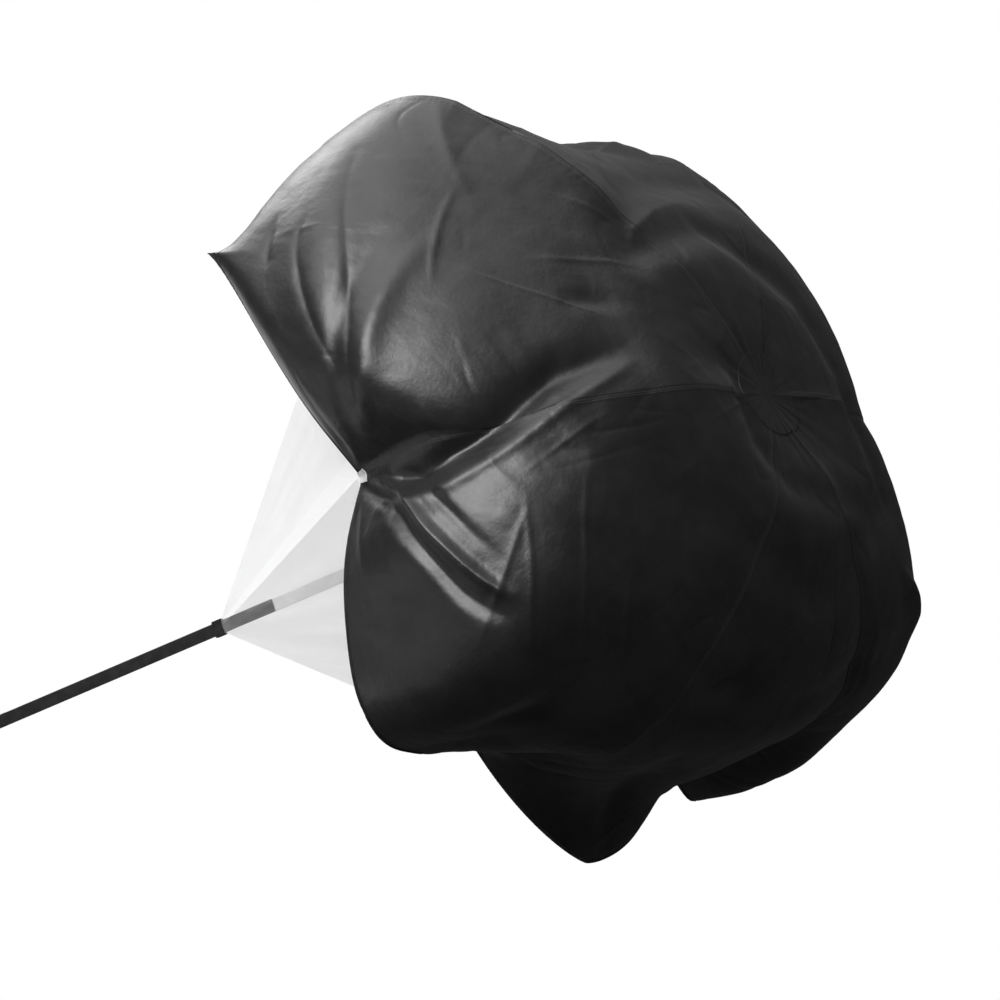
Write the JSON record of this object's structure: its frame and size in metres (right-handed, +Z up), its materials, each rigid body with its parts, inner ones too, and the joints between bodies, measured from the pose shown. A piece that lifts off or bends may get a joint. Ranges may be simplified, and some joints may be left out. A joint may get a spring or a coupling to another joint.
{
  "type": "speed parachute",
  "caption": "Running parachute in flight: a lobed cloth canopy, net panels that gather to a collar, a tow strap, a strap to the crown, and a waist belt with a buckle on a sliding ring.",
  "frame": {"origin": "in the middle of the collar, where the net panels and the centre strap meet the tow strap", "axes": "+Z up, +X level and downwind, away from the runner; the tow strap lies in the XZ plane and rises 20.3 degrees towards +X; +Y is away from the side that shows"},
  "size_m": [2.0608, 1.4895, 1.4141],
  "materials": {
    "taffeta": "light woven cloth with a half gloss",
    "binding": "woven binding tape",
    "net": "fine open net",
    "white_webbing": "flat woven webbing",
    "black_webbing": "flat woven webbing",
    "ring_metal": "satin plated wire",
    "plastic": "moulded, fine grain"
  },
  "bodies": {
    "parachute": {"canopy_gore_1": "taffeta", "canopy_gore_2": "taffeta", "canopy_gore_3": "taffeta", "canopy_gore_4": "taffeta", "canopy_gore_5": "taffeta", "canopy_gore_6": "taffeta", "mesh_panel_1": "net", "mesh_panel_2": "net", "mesh_panel_3": "net", "mesh_panel_4": "net", "mesh_panel_5": "net", "mesh_panel_6": "net", "rim_tab_1": "white_webbing", "rim_tab_2": "white_webbing", "rim_tab_3": "white_webbing", "rim_tab_4": "white_webbing", "rim_tab_5": "white_webbing", "rim_tab_6": "white_webbing", "rim_hem": "binding", "crown_patch": "binding", "crown_anchor": "white_webbing", "apex_collar": "binding", "centre_strap": "white_webbing", "tow_strap": "black_webbing", "tow_loop": "black_webbing"},
    "ring": {"belt_ring": "ring_metal"},
    "belt": {"belt_webbing": "black_webbing", "strap_adjuster": "plastic", "buckle_female": "plastic"},
    "plug": {"buckle_male": "plastic", "adjuster_strap": "black_webbing"},
    "tab_upper": {"release_tab_upper": "plastic"},
    "tab_lower": {"release_tab_lower": "plastic"}
  },
  "joints": [
    {"name": "ring_yaw", "type": "hinge", "parent": "parachute", "child": "ring", "pos_m": [-0.56067, 0, -0.2074], "axis": [-0.3469, 0, 0.9379], "range_deg": [-50, 50]},
    {"name": "belt_travel", "type": "slide", "parent": "ring", "child": "belt", "axis": [0, 1, 0], "range_m": [-0.08, 0.08]},
    {"name": "buckle_pull", "type": "slide", "parent": "belt", "child": "plug", "axis": [0, -1, 0], "range_m": [0, 0.03]},
    {"name": "release_tab_upper_press", "type": "hinge", "parent": "plug", "child": "tab_upper", "pos_m": [-0.75297, 0.0035, -0.26179], "axis": [-0.9379, 0, -0.3469], "range_deg": [0, 12], "stiffness_Nm_per_rad": 1.2},
    {"name": "release_tab_lower_press", "type": "hinge", "parent": "plug", "child": "tab_lower", "pos_m": [-0.74208, 0.0035, -0.29124], "axis": [0.9379, 0, 0.3469], "range_deg": [0, 12], "stiffness_Nm_per_rad": 1.2}
  ]
}
